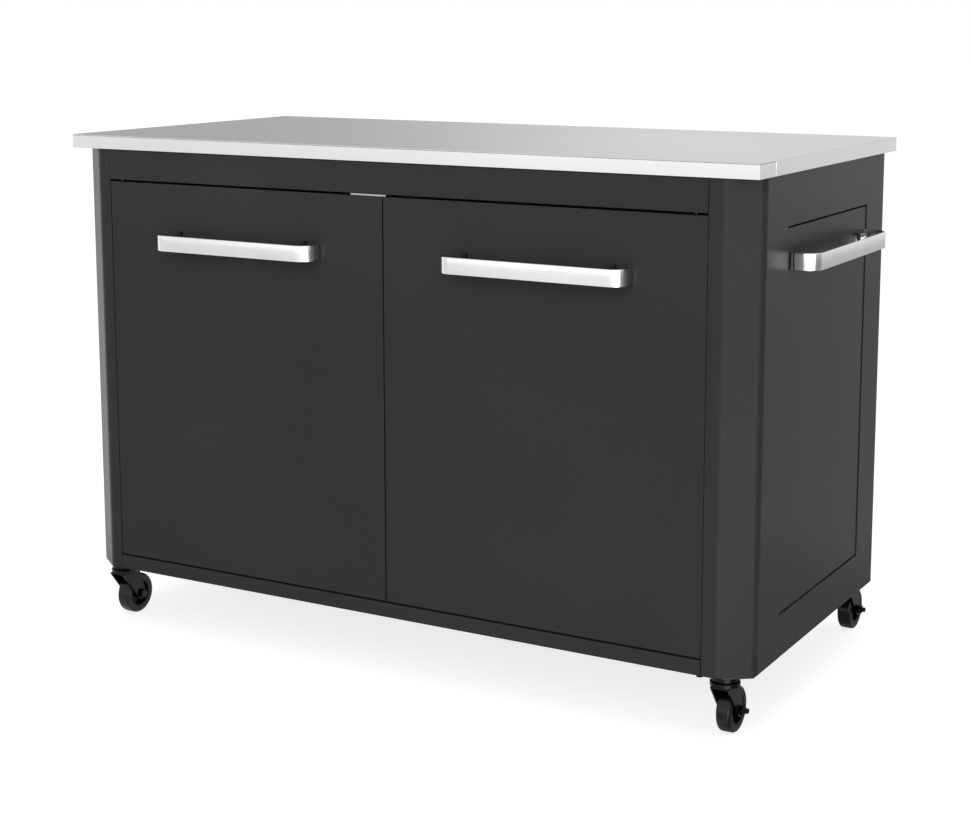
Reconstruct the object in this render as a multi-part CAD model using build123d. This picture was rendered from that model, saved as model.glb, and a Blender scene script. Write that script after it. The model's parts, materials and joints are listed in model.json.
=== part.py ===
from build123d import *
import os

# Outdoor kitchen table: stainless worktop on a sheet-steel cabinet with two doors and four casters.
# Millimetres, +Z up, doors facing -Y. Modelled about the cabinet's centre line with the floor at Z = 0.

# Worktop
worktop_width = 1200.0
worktop_depth = 593.0
worktop_thick = 22.0
worktop_sheet = 1.5
worktop_edge_round = 0.8
front_edge_return = 60.0
front_edge_seam = 0.3
side_overhang = 5.0
front_overhang = 3.5

# Cabinet body
cabinet_height = 704.0
caster_height = 96.0
frame_sheet = 1.5
fold_radius = 2.0
opening_edge_radius = 1.0
corner_cut_front = 48.0
corner_cut_side = 36.0
corner_front_bend = 20.0
corner_side_bend = 15.0
post_front_face = 69.0
post_side_face = 120.5
post_return = 50.0
rail_height = 49.0
rail_flange = 45.0
rail_end_gap = 0.8
base_height = 22.0
side_top_rail = 75.0
side_bottom_rail = 64.0
side_flange = 30.0
window_flange = 14.0
window_lip = 17.0

# Panels and shelf
panel_sheet = 1.2
panel_recess = 1.2
panel_gap = 3.0
panel_lip_short = 2.5
back_gap = 1.5
back_depth = 20.0
shelf_rise = 312.0
shelf_sheet = 1.2
shelf_flange = 20.0
shelf_side_gap = 3.0
shelf_front_gap = 10.0
shelf_back_gap = 4.0
bracket_thick = 2.0
bracket_width = 15.0
bracket_drop = 22.0
bracket_reach = 28.0

# Doors
door_recess = 0.5
door_thick = 20.0
door_sheet = 1.2
door_edge_radius = 1.4
door_top_gap = 3.2
door_bottom_gap = 3.0
door_hinge_gap = 0.8
door_split_gap = 2.0
liner_inset = 2.0
hinge_from_edge = 20.0
hinge_from_face = 6.0
pin_radius = 3.0
pin_reach = 13.0
pin_head_radius = 4.6
pin_head_height = 4.0
bush_wall = 1.5
bush_flange_radius = 6.0
bush_flange_thick = 1.2

# Door catches
strike_sheet = 1.0
strike_height = 24.0
strike_lip_set = 4.0
strike_lip_height = 2.6
strike_lip_raise = 0.4
strike_lip_past = 4.0
left_strike_length = 58.0
right_strike_length = 40.0
catch_length = 40.0
catch_depth = 18.0
catch_height = 18.0
catch_from_split = 12.0
magnet_margin = 4.0
magnet_depth = 6.0

# Handles
door_handle_length = 300.0
side_handle_length = 320.0
handle_tall = 25.0
handle_strip = 3.0
door_handle_reach = 36.5
side_handle_reach = 42.0
handle_bend = 22.5
handle_foot_bend = 4.0
handle_foot = 42.0
handle_foot_tall = 13.0
door_handle_drop = 90.3
side_handle_drop = 47.0
clip_from_end = 29.5
clip_width = 8.0
door_clip_tall = 31.0
side_clip_tall = 17.0
clip_cap = 2.4

# Casters
caster_side_inset = 45.0
caster_front_inset = 33.0
caster_trail = 25.0
caster_plate_width = 84.0
caster_plate_depth = 50.0
caster_plate_thick = 3.0
caster_plate_round = 4.0
caster_plate_inset = 1.0
bolt_pitch_width = 64.0
bolt_pitch_depth = 34.0
race_radius = 20.5
race_height = 8.5
crown_radius = 22.0
crown_height = 6.0
kingpin_radius = 5.0
kingpin_head_radius = 9.0
kingpin_head_height = 3.5
wheel_radius = 34.0
wheel_width = 22.0
tread_round = 4.0
tyre_wall = 11.0
hub_web = 6.0
hub_boss_radius = 9.0
fork_sheet = 2.5
fork_gap = 1.2
fork_front = 20.0
fork_boss_radius = 10.0
axle_radius = 4.0
axle_head_height = 5.3
axle_nut_height = 6.5
axle_thread_end = 5.5
axle_hex_radius = 7.5
mount_thick = 4.0
mount_width = 123.0

# Fasteners
bolt_radius = 2.5
bolt_head_radius = 4.5
bolt_head_height = 3.0
bolt_nut_height = 4.0
bolt_thread_end = 0.5
screw_radius = 2.0
screw_head_radius = 4.0
screw_head_height = 2.0
screw_length = 6.5
top_screw_radius = 2.5
top_screw_head_radius = 5.0
top_screw_head_height = 2.5
top_screw_length = 17.0
top_screw_count = 5
top_screw_inset = 45.0
panel_screw_count = 3
panel_screw_inset = 70.0
caster_bolt_radius = 3.0
caster_bolt_head_radius = 5.5
caster_bolt_head_height = 4.0
caster_nut_height = 5.0

# Clearances
seat_clear = 0.3
hole_clear = 0.1
run_clear = 0.05

# Levels and faces that several pieces share
half_width = worktop_width / 2 - side_overhang
half_depth = worktop_depth / 2 - front_overhang
base_z = caster_height
floor_z = base_z + base_height
body_top_z = base_z + cabinet_height
rail_z = body_top_z - rail_height
table_top_z = body_top_z + worktop_thick
front_y = -half_depth
opening_x = half_width - post_front_face
rail_x = opening_x - rail_end_gap
window_y = half_depth - post_side_face
window_low_z = base_z + side_bottom_rail
window_high_z = body_top_z - side_top_rail
lip_x = half_width - window_flange
door_face_y = front_y + door_recess
door_back_y = door_face_y + door_thick
liner_back_y = door_back_y + panel_sheet
door_low_z = floor_z + door_bottom_gap
door_high_z = rail_z - door_top_gap
door_free_x = door_split_gap / 2
door_hinge_x = opening_x - door_hinge_gap
pin_x = door_hinge_x - hinge_from_edge
pin_y = door_face_y + hinge_from_face
panel_face_x = half_width - panel_recess
panel_high_z = window_high_z - panel_gap
shelf_level = floor_z + shelf_rise
door_handle_level = door_high_z - door_handle_drop
side_handle_level = panel_high_z - side_handle_drop
bolt_y = front_y + rail_flange / 2

# The part's origin is the middle of its box on the floor, so everything is shifted from the centre line.
box_low_x = -worktop_width / 2
box_high_x = panel_face_x + side_handle_reach
box_low_y = door_face_y - door_handle_reach
box_high_y = max(worktop_depth / 2, half_depth - caster_front_inset + caster_trail + wheel_radius)
to_origin = Pos(-(box_low_x + box_high_x) / 2, -(box_low_y + box_high_y) / 2, 0)


def block(x0, x1, y0, y1, z0, z1):
    return Pos((x0 + x1) / 2, (y0 + y1) / 2, (z0 + z1) / 2) * Box(x1 - x0, y1 - y0, z1 - z0)


def rod_z(x, y, z0, z1, radius):
    return Pos(x, y, (z0 + z1) / 2) * Cylinder(radius, z1 - z0)


def rod_x(x0, x1, y, z, radius):
    return Pos((x0 + x1) / 2, y, z) * Rot(0, 90, 0) * Cylinder(radius, x1 - x0)


def hex_x(x0, x1, y, z, radius):
    hexagon = Plane.YZ * RegularPolygon(radius, 6)
    return Pos(x0, y, z) * extrude(hexagon, amount=x1 - x0, dir=(1, 0, 0))


def hex_z(x, y, z0, z1, radius):
    return Pos(x, y, z0) * extrude(RegularPolygon(radius, 6), amount=z1 - z0)


def flip_x(shape):
    return mirror(shape, about=Plane.YZ)


def flip_y(shape):
    return mirror(shape, about=Plane.XZ)


def spread(low, high, count):
    return [low + (high - low) * i / (count - 1) for i in range(count)]


# Outline of a folded sheet: its outer face follows the path, and the metal lies on the left of it.
def folded_outline(path, radii, thick):
    points = [Vector(*p) for p in path]
    headings = [(b - a).normalized() for a, b in zip(points, points[1:])]
    lefts = [Vector(-h.Y, h.X) for h in headings]
    inner = [points[0] + lefts[0] * thick]
    for i in range(1, len(points) - 1):
        before, after = lefts[i - 1], lefts[i]
        inner.append(points[i] + (before + after) * (thick / (1 + before.dot(after))))
    inner.append(points[-1] + lefts[-1] * thick)
    inner_radii = [max(r - thick, 0) for r in radii]
    outline = points + inner[::-1]
    corner_radii = [0] + radii + [0, 0] + inner_radii[::-1] + [0]
    return make_face(FilletPolyline(*outline, radius=corner_radii, close=True))


# Where the front and the side meet the slanted corner face, seen from above, this far inside the body
def front_right_folds(inset):
    slant = (corner_cut_front**2 + corner_cut_side**2) ** 0.5
    side_shift = inset * corner_cut_side / (slant + corner_cut_front)
    front_shift = inset * corner_cut_front / (slant + corner_cut_side)
    front_fold = (half_width - corner_cut_front - side_shift, front_y + inset)
    side_fold = (half_width - inset, front_y + corner_cut_side + front_shift)
    return [front_fold, side_fold]


def save(name, *solids):
    placed = [to_origin * s for s in solids]
    export_step(placed[0] if len(placed) == 1 else Compound(children=placed), f"parts/{name}.step")


# Worktop: skin, front edge piece and core board
def worktop_skin():
    half_w, half_d = worktop_width / 2, worktop_depth / 2
    skin = block(-half_w, half_w, -half_d, half_d, table_top_z - worktop_sheet, table_top_z)
    under_z = table_top_z - worktop_sheet
    skin += block(-half_w, half_w, half_d - worktop_sheet, half_d, body_top_z, under_z)
    seam_y = -half_d + front_edge_return
    for x0 in (-half_w, half_w - worktop_sheet):
        skin += block(x0, x0 + worktop_sheet, seam_y + front_edge_seam, half_d, body_top_z, under_z)
    top_edges = skin.faces().sort_by(Axis.Z)[-1].outer_wire().edges()
    return fillet(top_edges, worktop_edge_round)


def worktop_front_edge():
    half_w, half_d = worktop_width / 2, worktop_depth / 2
    path = [
        (-half_w, -half_d + front_edge_return),
        (-half_w, -half_d),
        (half_w, -half_d),
        (half_w, -half_d + front_edge_return),
    ]
    outline = folded_outline(path, [0, 0], worktop_sheet)
    return Pos(0, 0, body_top_z) * extrude(outline, amount=worktop_thick - worktop_sheet)


def top_screw_places():
    inset_y = half_depth - rail_flange / 2
    for x in spread(-rail_x + top_screw_inset, rail_x - top_screw_inset, top_screw_count):
        for y in (-inset_y, inset_y):
            yield x, y


def worktop_core():
    inset = worktop_sheet + seat_clear
    half_w, half_d = worktop_width / 2 - inset, worktop_depth / 2 - inset
    core = block(-half_w, half_w, -half_d, half_d, body_top_z, table_top_z - worktop_sheet)
    screw_top = body_top_z - frame_sheet + top_screw_length
    for x, y in top_screw_places():
        core -= rod_z(x, y, body_top_z, screw_top + seat_clear, top_screw_radius + hole_clear)
    return core


def worktop_screws():
    head_top = body_top_z - frame_sheet
    for x, y in top_screw_places():
        head = rod_z(x, y, head_top - top_screw_head_height, head_top, top_screw_head_radius)
        yield head + rod_z(x, y, head_top, head_top + top_screw_length, top_screw_radius)


# Corner post: sheet folded twice at the corner, with a return beside the door opening and a lip beside the side window
def front_right_post():
    path = [
        (opening_x, front_y + post_return),
        (opening_x, front_y),
        *front_right_folds(0),
        (half_width, -window_y),
        (lip_x, -window_y),
        (lip_x, -window_y - window_lip),
    ]
    radii = [opening_edge_radius, corner_front_bend, corner_side_bend, 0, fold_radius]
    outline = folded_outline(path, radii, frame_sheet)
    post = Pos(0, 0, base_z) * extrude(outline, amount=cabinet_height)
    # The return starts above the base, which passes between the posts.
    post -= block(
        opening_x - frame_sheet,
        opening_x + frame_sheet + hole_clear,
        front_y + frame_sheet,
        front_y + post_return + frame_sheet,
        base_z,
        floor_z,
    )
    for hole in frame_bolt_holes() + [shelf_bolt_hole()]:
        post -= hole
    for z in side_screw_levels():
        post -= rod_x(lip_x, lip_x + frame_sheet, -side_screw_y(), z, screw_radius + hole_clear)
    return post


def rear_right_post():
    post = flip_y(front_right_post())
    for z in back_screw_levels():
        post -= rod_x(opening_x, opening_x + frame_sheet, back_screw_y(), z, screw_radius + hole_clear)
    return post


# Frame bolts join the ends of the top rails and the shelf brackets to the posts' returns.
def frame_bolt_levels():
    return [rail_z + rail_height / 4, body_top_z - rail_height / 4]


def frame_bolt_holes():
    x0, x1 = rail_x - frame_sheet, opening_x + frame_sheet
    return [rod_x(x0, x1, bolt_y, z, bolt_radius + hole_clear) for z in frame_bolt_levels()]


def shelf_bolt_place():
    return front_y + post_return - bracket_width / 2, shelf_level - bracket_drop / 2


def shelf_bolt_hole():
    y, z = shelf_bolt_place()
    return rod_x(opening_x - bracket_thick, opening_x + frame_sheet, y, z, bolt_radius + hole_clear)


def bolt_and_nut(head_x, nut_x, y, z):
    way = 1 if nut_x > head_x else -1
    end_x = nut_x + way * (bolt_nut_height + bolt_thread_end)
    far_x = head_x - way * bolt_head_height
    bolt = rod_x(min(far_x, head_x), max(far_x, head_x), y, z, bolt_head_radius)
    bolt += rod_x(min(head_x, end_x), max(head_x, end_x), y, z, bolt_radius)
    back_x = nut_x + way * bolt_nut_height
    low_x, high_x = min(nut_x, back_x), max(nut_x, back_x)
    nut = hex_x(low_x, high_x, y, z, bolt_head_radius)
    nut -= rod_x(low_x, high_x, y, z, bolt_radius + hole_clear)
    return [bolt, nut]


def frame_bolts():
    shelf_y, shelf_z = shelf_bolt_place()
    corner = bolt_and_nut(opening_x - bracket_thick, opening_x + frame_sheet, shelf_y, shelf_z)
    for z in frame_bolt_levels():
        corner += bolt_and_nut(opening_x + frame_sheet, rail_x - frame_sheet, bolt_y, z)
    front = corner + [flip_x(s) for s in corner]
    return front + [flip_y(s) for s in front]


# Top rails: channels with closed ends, open towards the inside
def rear_top_rail():
    path = [
        (half_depth - rail_flange, rail_z),
        (half_depth, rail_z),
        (half_depth, body_top_z),
        (half_depth - rail_flange, body_top_z),
    ]
    outline = Plane.YZ * folded_outline(path, [fold_radius, fold_radius], frame_sheet)
    rail = Pos(-rail_x, 0, 0) * extrude(outline, amount=2 * rail_x, dir=(1, 0, 0))
    for x0 in (-rail_x, rail_x - frame_sheet):
        rail += block(
            x0,
            x0 + frame_sheet,
            half_depth - rail_flange,
            half_depth - frame_sheet,
            rail_z + frame_sheet,
            body_top_z - frame_sheet,
        )
    for hole in frame_bolt_holes():
        rail -= flip_y(hole)
        rail -= flip_x(flip_y(hole))
    for x, y in top_screw_places():
        rail -= rod_z(x, y, body_top_z - frame_sheet, body_top_z, top_screw_radius + hole_clear)
    return rail


def front_top_rail():
    rail = flip_y(rear_top_rail())
    for x in (-pin_x, pin_x):
        rail -= rod_z(x, pin_y, rail_z, rail_z + frame_sheet, pin_radius + hole_clear)
    return rail


# Side rails above and below the window
def right_side_rails():
    top = [
        (half_width - side_flange, body_top_z),
        (half_width, body_top_z),
        (half_width, window_high_z),
        (lip_x, window_high_z),
        (lip_x, window_high_z + window_lip),
    ]
    bottom = [
        (lip_x, window_low_z - window_lip),
        (lip_x, window_low_z),
        (half_width, window_low_z),
        (half_width, base_z),
        (half_width - side_flange, base_z),
    ]
    for path, radii in ((top[::-1], [fold_radius, 0, 0]), (bottom[::-1], [0, 0, fold_radius])):
        outline = Plane.XZ * folded_outline(path, radii, frame_sheet)
        yield Pos(0, -window_y, 0) * extrude(outline, amount=2 * window_y, dir=(0, 1, 0))


# Side panel: a shallow tray whose lip lies behind the window's lip
def side_screw_y():
    return window_y + window_lip / 2


def side_screw_levels():
    return spread(window_low_z + panel_screw_inset, window_high_z - panel_screw_inset, panel_screw_count)


def right_side_panel():
    y, z0, z1 = window_y - panel_gap, window_low_z + panel_gap, panel_high_z
    back_x = lip_x - panel_sheet
    lip = window_lip - panel_lip_short + panel_gap
    panel = block(back_x, panel_face_x, -y, y, z0, z1)
    panel += block(back_x, lip_x, -y - lip, y + lip, z0 - lip, z1 + lip)
    wall = panel_sheet
    panel -= block(back_x, panel_face_x - wall, -y + wall, y - wall, z0 + wall, z1 - wall)
    for z in side_screw_levels():
        for screw_y in (-side_screw_y(), side_screw_y()):
            panel -= rod_x(back_x, lip_x, screw_y, z, screw_radius + hole_clear)
    return panel


# Back panel: a tray standing on the floor between the rear posts
def back_screw_y():
    return half_depth - panel_recess - back_depth / 2


def back_screw_levels():
    return spread(floor_z + panel_screw_inset, rail_z - panel_screw_inset, panel_screw_count)


def back_panel():
    x, z1 = opening_x - back_gap, rail_z - back_gap
    face_y = half_depth - panel_recess
    wall = panel_sheet
    panel = block(-x, x, face_y - back_depth, face_y, floor_z, z1)
    panel -= block(-x + wall, x - wall, face_y - back_depth, face_y - wall, floor_z + wall, z1 - wall)
    for z in back_screw_levels():
        for x0 in (-x, x - wall):
            panel -= rod_x(x0, x0 + wall, back_screw_y(), z, screw_radius + hole_clear)
    return panel


def panel_screws():
    side_head = lip_x - panel_sheet
    back_head = opening_x - back_gap - panel_sheet
    places = [(side_head, y, z) for y in (-side_screw_y(), side_screw_y()) for z in side_screw_levels()]
    places += [(back_head, back_screw_y(), z) for z in back_screw_levels()]
    for x, y, z in places:
        screw = rod_x(x - screw_head_height, x, y, z, screw_head_radius)
        screw += rod_x(x, x + screw_length, y, z, screw_radius)
        yield screw
        yield flip_x(screw)


# Base pan: floor with flanges turned down at the front and back, and wings between the side rails
def base_pan():
    path = [(half_depth, base_z), (half_depth, floor_z), (front_y, floor_z), (front_y, base_z)]
    outline = Plane.YZ * folded_outline(path, [fold_radius, fold_radius], frame_sheet)
    pan = Pos(-rail_x, 0, 0) * extrude(outline, amount=2 * rail_x, dir=(1, 0, 0))
    under_z = floor_z - frame_sheet
    # Between the posts' lips the floor reaches the side rails, and beside the lips it stops short of them.
    reach_x, reach_y = half_width - frame_sheet, window_y - seat_clear
    pan += block(-reach_x, reach_x, -reach_y, reach_y, under_z, floor_z)
    wing_x, wing_y = lip_x - seat_clear, half_depth - corner_cut_side - corner_side_bend
    pan += block(-wing_x, wing_x, -wing_y, wing_y, under_z, floor_z)
    for x in (-pin_x, pin_x):
        pan -= rod_z(x, pin_y, under_z, floor_z, pin_radius + hole_clear)
    return pan


# Shelf on four brackets
def shelf():
    x = opening_x - shelf_side_gap
    y0 = liner_back_y + shelf_front_gap
    y1 = half_depth - panel_recess - back_depth - shelf_back_gap
    path = [
        (y1, shelf_level + shelf_sheet - shelf_flange),
        (y1, shelf_level + shelf_sheet),
        (y0, shelf_level + shelf_sheet),
        (y0, shelf_level + shelf_sheet - shelf_flange),
    ]
    outline = Plane.YZ * folded_outline(path, [fold_radius, fold_radius], shelf_sheet)
    return Pos(-x, 0, 0) * extrude(outline, amount=2 * x, dir=(1, 0, 0))


def shelf_brackets():
    y1 = front_y + post_return
    y0 = y1 - bracket_width
    bracket = block(opening_x - bracket_thick, opening_x, y0, y1, shelf_level - bracket_drop, shelf_level)
    bracket += block(opening_x - bracket_reach, opening_x, y0, y1, shelf_level - bracket_thick, shelf_level)
    bracket -= shelf_bolt_hole()
    pair = [bracket, flip_x(bracket)]
    return pair + [flip_y(b) for b in pair]


# Doors: folded skin, liner over its back, and bushes for the hinge pins
def right_door_skin():
    x0, x1 = door_free_x, door_hinge_x
    skin = block(x0, x1, door_face_y, door_back_y, door_low_z, door_high_z)
    face_edges = skin.faces().sort_by(Axis.Y)[0].outer_wire().edges()
    skin = fillet(face_edges, door_edge_radius)
    wall = door_sheet
    skin -= block(
        x0 + wall, x1 - wall, door_face_y + wall, door_back_y, door_low_z + wall, door_high_z - wall
    )
    barrel = pin_radius + run_clear + bush_wall + hole_clear
    for z0 in (door_low_z, door_high_z - wall):
        skin -= rod_z(pin_x, pin_y, z0, z0 + wall, barrel)
    return skin


def right_door_liner():
    return block(
        door_free_x + liner_inset,
        door_hinge_x - liner_inset,
        door_back_y,
        liner_back_y,
        door_low_z + liner_inset,
        door_high_z - liner_inset,
    )


def right_door_bushes():
    bore = pin_radius + run_clear
    inside = pin_reach + seat_clear
    for face_z, inward in ((door_low_z, 1), (door_high_z, -1)):
        rim_z = face_z - inward * bush_flange_thick
        end_z = face_z + inward * inside
        bush = rod_z(pin_x, pin_y, min(rim_z, face_z), max(rim_z, face_z), bush_flange_radius)
        bush += rod_z(pin_x, pin_y, min(face_z, end_z), max(face_z, end_z), bore + bush_wall)
        yield bush - rod_z(pin_x, pin_y, min(rim_z, end_z), max(rim_z, end_z), bore)


def hinge_pins():
    collar_top = door_low_z - bush_flange_thick - seat_clear
    low_head = floor_z - frame_sheet
    low = rod_z(pin_x, pin_y, low_head - pin_head_height, low_head, pin_head_radius)
    low += rod_z(pin_x, pin_y, low_head, door_low_z + pin_reach, pin_radius)
    low += rod_z(pin_x, pin_y, floor_z, collar_top, pin_head_radius)
    high_head = rail_z + frame_sheet
    high = rod_z(pin_x, pin_y, high_head, high_head + pin_head_height, pin_head_radius)
    high += rod_z(pin_x, pin_y, door_high_z - pin_reach, high_head, pin_radius)
    return [low, high, flip_x(low), flip_x(high)]


# Catches: strike plates on the doors, magnets in housings under the top rail
def left_strike():
    x0, x1 = -door_free_x - left_strike_length, -door_free_x
    back_y = liner_back_y + strike_sheet
    cap_z = door_high_z + strike_sheet
    lip_y = door_face_y + strike_lip_set
    strike = block(x0, x1, liner_back_y, back_y, door_high_z - strike_height, cap_z)
    strike += block(x0, x1, lip_y, back_y, door_high_z, cap_z)
    # The lip fills the gap under the rail and passes just above the other door's top.
    low_z, high_z = door_high_z + strike_lip_raise, door_high_z + strike_lip_height
    strike += block(x0, x1 + door_free_x + strike_lip_past, lip_y, lip_y + strike_sheet, low_z, high_z)
    return strike


def right_strike():
    return block(
        catch_from_split,
        catch_from_split + right_strike_length,
        liner_back_y,
        liner_back_y + strike_sheet,
        door_high_z - strike_height,
        door_high_z - liner_inset,
    )


def catch_pair():
    y0 = liner_back_y + strike_sheet + seat_clear
    x0, x1 = catch_from_split, catch_from_split + catch_length
    housing = block(x0, x1, y0, y0 + catch_depth, rail_z - catch_height, rail_z)
    magnet = block(
        x0 + magnet_margin,
        x1 - magnet_margin,
        y0,
        y0 + magnet_depth,
        rail_z - catch_height + magnet_margin,
        rail_z - magnet_margin,
    )
    return housing - magnet, magnet


# Handles: flat strip bent to a bar with two legs and narrow feet turned in, held by clips over the feet
def handle_bar(length, reach):
    half, strip = length / 2, handle_strip
    foot = half - handle_foot
    path = [(foot, 0), (half, 0), (half, -reach), (-half, -reach), (-half, 0), (-foot, 0)]
    inner_path = path[::-1]
    radii = [handle_foot_bend, handle_bend, handle_bend, handle_foot_bend]
    outline = folded_outline(inner_path, radii, strip)
    bar = Pos(0, 0, -handle_tall / 2) * extrude(outline, amount=handle_tall)
    trim_x, trim_z = half - handle_foot_bend, handle_foot_tall / 2
    bar -= block(-trim_x, trim_x, -strip, 0, trim_z, handle_tall / 2)
    bar -= block(-trim_x, trim_x, -strip, 0, -handle_tall / 2, -trim_z)
    return bar


def handle_clips(length, tall):
    deep = handle_strip + hole_clear + clip_cap
    clip = block(-clip_width / 2, clip_width / 2, -deep, 0, -tall / 2, tall / 2)
    clip = fillet(clip.faces().sort_by(Axis.Y)[0].outer_wire().edges(), clip_cap / 2)
    slot = handle_foot_tall / 2 + hole_clear
    clip -= block(-clip_width, clip_width, -handle_strip - hole_clear, 0, -slot, slot)
    place = length / 2 - clip_from_end
    return [Pos(x, 0, 0) * clip for x in (-place, place)]


def door_place(side):
    return Pos(side * (door_free_x + door_hinge_x) / 2, door_face_y, door_handle_level)


side_place = Pos(panel_face_x, 0, side_handle_level) * Rot(0, 0, 90)


# Casters: the swivel axis stands at x, y and the wheel trails towards +Y
race_z = base_z - caster_plate_thick - race_height
crown_z = race_z - seat_clear - crown_height
fork_top_z = crown_z - fork_sheet
leg_inner_x = wheel_width / 2 + fork_gap
leg_outer_x = leg_inner_x + fork_sheet
caster_x = half_width - caster_side_inset
caster_y = half_depth - caster_front_inset


def caster_bolt_places(side_x, side_y):
    # The outer corner lies under the post's slanted face, where there is no room for a bolt.
    dx, dy = bolt_pitch_width / 2, bolt_pitch_depth / 2
    return [(-side_x * dx, -side_y * dy), (-side_x * dx, side_y * dy), (side_x * dx, -side_y * dy)]


def caster_plate(side_x, side_y):
    right = front_right_folds(caster_plate_inset)
    front = [(-x, y) for x, y in right[::-1]] + right
    body = make_face(Polyline(*front, *[(x, -y) for x, y in front[::-1]], close=True))
    outline = RectangleRounded(caster_plate_width, caster_plate_depth, caster_plate_round)
    outline &= Pos(-side_x * caster_x, -side_y * caster_y) * body
    plate = Pos(0, 0, base_z - caster_plate_thick) * extrude(outline, amount=caster_plate_thick)
    race = rod_z(0, 0, race_z, base_z - caster_plate_thick, race_radius)
    race = fillet(race.edges().group_by(Axis.Z)[0], race_height / 3)
    plate += race
    plate -= rod_z(0, 0, race_z, base_z, kingpin_radius + hole_clear)
    for x, y in caster_bolt_places(side_x, side_y):
        plate -= rod_z(x, y, base_z - caster_plate_thick, base_z, caster_bolt_radius + hole_clear)
    return plate


def kingpin():
    head_top = fork_top_z - seat_clear
    pin = rod_z(0, 0, head_top, base_z, kingpin_radius)
    return pin + rod_z(0, 0, head_top - kingpin_head_height, head_top, kingpin_head_radius)


def fork_profile():
    top = Pos(0, fork_top_z + fork_sheet / 2) * Rectangle(2 * fork_front, fork_sheet)
    boss = Pos(caster_trail, wheel_radius) * Circle(fork_boss_radius)
    return make_hull(top.edges() + boss.edges())


def fork():
    profile = Plane.YZ * fork_profile()
    body = extrude(profile, amount=leg_outer_x, both=True)
    reach = caster_trail + fork_boss_radius
    body -= block(-leg_inner_x, leg_inner_x, -reach, reach, wheel_radius - fork_boss_radius, fork_top_z)
    crown = rod_z(0, 0, crown_z, crown_z + crown_height, crown_radius)
    body += fillet(crown.edges().group_by(Axis.Z)[-1], crown_height / 4)
    body -= rod_z(0, 0, fork_top_z, crown_z + crown_height, kingpin_radius + run_clear)
    body -= rod_x(-leg_outer_x, leg_outer_x, caster_trail, wheel_radius, axle_radius + hole_clear)
    return body


# The nut is on the outer side of each caster.
def axle(side_x):
    y, z = caster_trail, wheel_radius
    nut_end = leg_outer_x + axle_nut_height
    bolt = hex_x(-leg_outer_x - axle_head_height, -leg_outer_x, y, z, axle_hex_radius)
    bolt += rod_x(-leg_outer_x, nut_end + axle_thread_end, y, z, axle_radius)
    nut = hex_x(leg_outer_x, nut_end, y, z, axle_hex_radius)
    nut -= rod_x(leg_outer_x, nut_end, y, z, axle_radius + hole_clear)
    return [bolt, nut] if side_x > 0 else [flip_x(bolt), flip_x(nut)]


def tyre():
    inner = wheel_radius - tyre_wall
    ring = rod_x(-wheel_width / 2, wheel_width / 2, 0, 0, wheel_radius)
    ring = fillet(ring.edges().filter_by(GeomType.CIRCLE), tread_round)
    ring -= rod_x(-wheel_width / 2, wheel_width / 2, 0, 0, inner)
    return Pos(0, caster_trail, wheel_radius) * ring


def hub():
    rim = wheel_radius - tyre_wall - hole_clear
    half, web = wheel_width / 2, hub_web / 2
    boss = leg_inner_x - fork_gap / 4
    body = rod_x(-half, half, 0, 0, rim) - rod_x(-half, half, 0, 0, rim - hub_web / 2)
    body += rod_x(-web, web, 0, 0, rim - hub_web / 4)
    body += rod_x(-boss, boss, 0, 0, hub_boss_radius)
    body -= rod_x(-boss, boss, 0, 0, axle_radius + run_clear)
    return Pos(0, caster_trail, wheel_radius) * body


def caster_bolts(side_x, side_y):
    plate_z = base_z - caster_plate_thick
    nut_z = base_z + mount_thick
    for dx, dy in caster_bolt_places(side_x, side_y):
        x, y = side_x * caster_x + dx, side_y * caster_y + dy
        bolt = hex_z(x, y, plate_z - caster_bolt_head_height, plate_z, caster_bolt_head_radius)
        bolt += rod_z(x, y, plate_z, nut_z + caster_nut_height + bolt_thread_end, caster_bolt_radius)
        yield bolt
        nut = hex_z(x, y, nut_z, nut_z + caster_nut_height, caster_bolt_head_radius)
        yield nut - rod_z(x, y, nut_z, nut_z + caster_nut_height, caster_bolt_radius + hole_clear)


# Caster mounts: plates inside the base corners, with a web up to the floor
def front_right_mount():
    inset = frame_sheet + seat_clear
    x1, y0 = half_width - inset, front_y + inset
    x0, y1 = x1 - mount_width, -window_y - window_lip - seat_clear
    radii = [0, corner_front_bend - inset, corner_side_bend - inset, 0, 0]
    folds = front_right_folds(inset)
    outline = make_face(FilletPolyline((x0, y0), *folds, (x1, y1), (x0, y1), radius=radii, close=True))
    mount = Pos(0, 0, base_z) * extrude(outline, amount=mount_thick)
    mount += block(x0, x0 + mount_thick, y0 + fold_radius, y1, base_z, floor_z - frame_sheet)
    for dx, dy in caster_bolt_places(1, -1):
        x, y = caster_x + dx, -caster_y + dy
        mount -= rod_z(x, y, base_z, base_z + mount_thick, caster_bolt_radius + hole_clear)
    return mount


os.makedirs("parts", exist_ok=True)

save("worktop_skin", worktop_skin())
save("worktop_front_edge", worktop_front_edge())
save("worktop_core", worktop_core())
save("worktop_screws", *worktop_screws())

save("front_right_post", front_right_post())
save("front_left_post", flip_x(front_right_post()))
save("rear_right_post", rear_right_post())
save("rear_left_post", flip_x(rear_right_post()))
save("front_top_rail", front_top_rail())
save("rear_top_rail", rear_top_rail())
save("right_side_rails", *right_side_rails())
save("left_side_rails", *[flip_x(rail) for rail in right_side_rails()])
save("base_pan", base_pan())
save("frame_bolts", *frame_bolts())

save("right_side_panel", right_side_panel())
save("left_side_panel", flip_x(right_side_panel()))
save("back_panel", back_panel())
save("panel_screws", *panel_screws())
save("shelf", shelf())
save("shelf_brackets", *shelf_brackets())

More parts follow.
